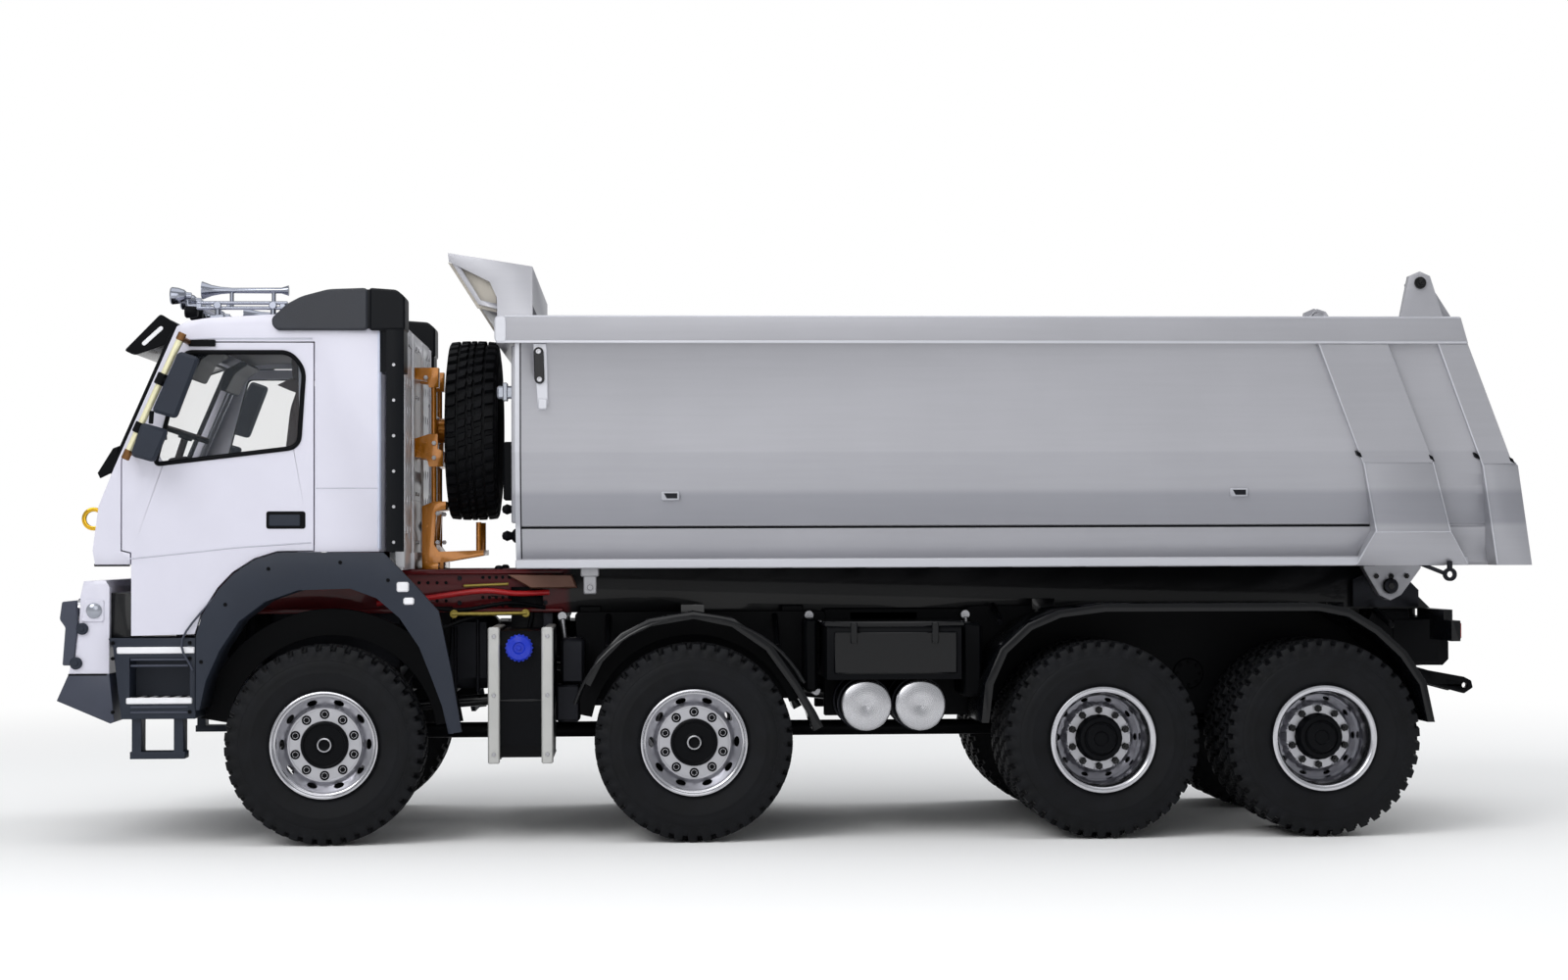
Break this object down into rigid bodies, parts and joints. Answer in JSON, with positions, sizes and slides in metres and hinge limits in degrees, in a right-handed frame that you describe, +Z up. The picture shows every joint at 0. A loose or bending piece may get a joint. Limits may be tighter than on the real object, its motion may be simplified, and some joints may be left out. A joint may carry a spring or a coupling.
{
  "type": "scale model tipper truck",
  "caption": "Scale model of a heavy twin-steer tipper truck with a hollow cab, opening doors, tipping steel bed with tailgate, telescopic cylinder and a spare wheel behind the cab.",
  "frame": {"origin": "on the floor under the middle of the truck's length and width", "axes": "+X forward, +Y to the truck's left, +Z up"},
  "size_m": [0.63, 0.206, 0.2507],
  "materials": {
    "frame_paint": "semi-gloss",
    "black_metal": "satin",
    "cab_paint": "gloss",
    "slate_plastic": "satin",
    "bed_metal": "satin",
    "tyre": "matt",
    "rim_metal": "polished",
    "glass": "clear",
    "interior": "matt",
    "gold": "polished",
    "orange": "gloss",
    "steel": "brushed",
    "tank_metal": "satin",
    "lamp_red": "gloss"
  },
  "bodies": {
    "chassis": {"frame_rails": "frame_paint", "engine_block": "black_metal", "leaf_springs": "black_metal", "steer_axles": "black_metal", "drive_axles": "black_metal", "bumper": "cab_paint", "bumper_guard": "slate_plastic", "cab_steps": "slate_plastic", "tow_ring": "gold", "cab_shell": "cab_paint", "windscreen": "glass", "cab_interior": "interior", "cab_arches": "slate_plastic", "side_fairings": "slate_plastic", "sun_visor": "cab_paint", "roof_bar": "steel", "cab_rack": "cab_paint", "mudguards": "slate_plastic", "fuel_tank": "tank_metal", "air_unit": "tank_metal", "spare_tyre": "tyre", "spare_rim": "rim_metal", "spare_carrier": "orange", "tipping_base": "black_metal", "tow_coupling": "black_metal", "tail_lamps": "lamp_red"},
    "door_left": {"door_left": "cab_paint", "door_glass_left": "glass", "mirrors_left": "slate_plastic"},
    "door_right": {"door_right": "cab_paint", "door_glass_right": "glass", "mirrors_right": "slate_plastic"},
    "knuckle_1_left": {"knuckle_1_left": "black_metal"},
    "wheel_1_left": {"wheel_1_left_tyre": "tyre", "wheel_1_left_rim": "rim_metal"},
    "knuckle_1_right": {"knuckle_1_right": "black_metal"},
    "wheel_1_right": {"wheel_1_right_tyre": "tyre", "wheel_1_right_rim": "rim_metal"},
    "knuckle_2_left": {"knuckle_2_left": "black_metal"},
    "wheel_2_left": {"wheel_2_left_tyre": "tyre", "wheel_2_left_rim": "rim_metal"},
    "knuckle_2_right": {"knuckle_2_right": "black_metal"},
    "wheel_2_right": {"wheel_2_right_tyre": "tyre", "wheel_2_right_rim": "rim_metal"},
    "wheel_3_left": {"wheel_3_left_tyre": "tyre", "wheel_3_left_rim": "rim_metal"},
    "wheel_3_right": {"wheel_3_right_tyre": "tyre", "wheel_3_right_rim": "rim_metal"},
    "wheel_4_left": {"wheel_4_left_tyre": "tyre", "wheel_4_left_rim": "rim_metal"},
    "wheel_4_right": {"wheel_4_right_tyre": "tyre", "wheel_4_right_rim": "rim_metal"},
    "bed": {"bed_shell": "bed_metal"},
    "tailgate": {"tailgate": "bed_metal"},
    "cylinder_barrel": {"cylinder_barrel": "black_metal"},
    "cylinder_stage_1": {"cylinder_stage_1": "steel"},
    "cylinder_stage_2": {"cylinder_stage_2": "steel"},
    "cylinder_stage_3": {"cylinder_stage_3": "steel"},
    "cylinder_stage_4": {"cylinder_stage_4": "steel"}
  },
  "joints": [
    {"name": "door_left_hinge", "type": "hinge", "parent": "chassis", "child": "door_left", "pos_m": [0.2874, 0.088, 0.15], "axis": [0, 0, -1], "range_deg": [0, 65]},
    {"name": "door_right_hinge", "type": "hinge", "parent": "chassis", "child": "door_right", "pos_m": [0.2874, -0.088, 0.15], "axis": [0, 0, 1], "range_deg": [0, 65]},
    {"name": "steer_1_left", "type": "hinge", "parent": "chassis", "child": "knuckle_1_left", "pos_m": [0.203, 0.066, 0.0425], "axis": [0, 0, 1], "range_deg": [-28, 28]},
    {"name": "spin_1_left", "type": "hinge", "parent": "knuckle_1_left", "child": "wheel_1_left", "pos_m": [0.203, 0.0775, 0.0425], "axis": [0, 1, 0], "continuous": true},
    {"name": "steer_1_right", "type": "hinge", "parent": "chassis", "child": "knuckle_1_right", "pos_m": [0.203, -0.066, 0.0425], "axis": [0, 0, 1], "range_deg": [-28, 28]},
    {"name": "spin_1_right", "type": "hinge", "parent": "knuckle_1_right", "child": "wheel_1_right", "pos_m": [0.203, -0.0775, 0.0425], "axis": [0, 1, 0], "continuous": true},
    {"name": "steer_2_left", "type": "hinge", "parent": "chassis", "child": "knuckle_2_left", "pos_m": [0.047, 0.066, 0.0425], "axis": [0, 0, 1], "range_deg": [-16.8, 16.8]},
    {"name": "spin_2_left", "type": "hinge", "parent": "knuckle_2_left", "child": "wheel_2_left", "pos_m": [0.047, 0.0775, 0.0425], "axis": [0, 1, 0], "continuous": true},
    {"name": "steer_2_right", "type": "hinge", "parent": "chassis", "child": "knuckle_2_right", "pos_m": [0.047, -0.066, 0.0425], "axis": [0, 0, 1], "range_deg": [-16.8, 16.8]},
    {"name": "spin_2_right", "type": "hinge", "parent": "knuckle_2_right", "child": "wheel_2_right", "pos_m": [0.047, -0.0775, 0.0425], "axis": [0, 1, 0], "continuous": true},
    {"name": "spin_3_left", "type": "hinge", "parent": "chassis", "child": "wheel_3_left", "pos_m": [-0.128, 0.0635, 0.0425], "axis": [0, 1, 0], "continuous": true},
    {"name": "spin_3_right", "type": "hinge", "parent": "chassis", "child": "wheel_3_right", "pos_m": [-0.128, -0.0635, 0.0425], "axis": [0, 1, 0], "continuous": true},
    {"name": "spin_4_left", "type": "hinge", "parent": "chassis", "child": "wheel_4_left", "pos_m": [-0.224, 0.0635, 0.0425], "axis": [0, 1, 0], "continuous": true},
    {"name": "spin_4_right", "type": "hinge", "parent": "chassis", "child": "wheel_4_right", "pos_m": [-0.224, -0.0635, 0.0425], "axis": [0, 1, 0], "continuous": true},
    {"name": "bed_tip", "type": "hinge", "parent": "chassis", "child": "bed", "pos_m": [-0.267, 0, 0.107], "axis": [0, -1, 0], "range_deg": [0, 45]},
    {"name": "tailgate_hinge", "type": "hinge", "parent": "bed", "child": "tailgate", "pos_m": [-0.2666, 0, 0.2385], "axis": [0, 1, 0], "range_deg": [0, 60]},
    {"name": "cylinder_swing", "type": "hinge", "parent": "chassis", "child": "cylinder_barrel", "pos_m": [0.116, 0, 0.09], "axis": [0, -1, 0], "range_deg": [0, 26.85]},
    {"name": "cylinder_slide_1", "type": "slide", "parent": "cylinder_barrel", "child": "cylinder_stage_1", "axis": [0, 0, 1], "range_m": [0, 0.07142]},
    {"name": "cylinder_slide_2", "type": "slide", "parent": "cylinder_stage_1", "child": "cylinder_stage_2", "axis": [0, 0, 1], "range_m": [0, 0.07142]},
    {"name": "cylinder_slide_3", "type": "slide", "parent": "cylinder_stage_2", "child": "cylinder_stage_3", "axis": [0, 0, 1], "range_m": [0, 0.07142]},
    {"name": "cylinder_slide_4", "type": "slide", "parent": "cylinder_stage_3", "child": "cylinder_stage_4", "axis": [0, 0, 1], "range_m": [0, 0.07142]}
  ],
  "couplings": [
    {"joint": "steer_1_right", "follows": "steer_1_left", "ratio": 1},
    {"joint": "steer_2_left", "follows": "steer_1_left", "ratio": 0.6},
    {"joint": "steer_2_right", "follows": "steer_1_left", "ratio": 0.6},
    {"joint": "cylinder_swing", "follows": "bed_tip", "ratio": 0.59664},
    {"joint": "cylinder_slide_1", "follows": "bed_tip", "m_per_rad": 0.090934},
    {"joint": "cylinder_slide_2", "follows": "bed_tip", "m_per_rad": 0.090934},
    {"joint": "cylinder_slide_3", "follows": "bed_tip", "m_per_rad": 0.090934},
    {"joint": "cylinder_slide_4", "follows": "bed_tip", "m_per_rad": 0.090934}
  ]
}
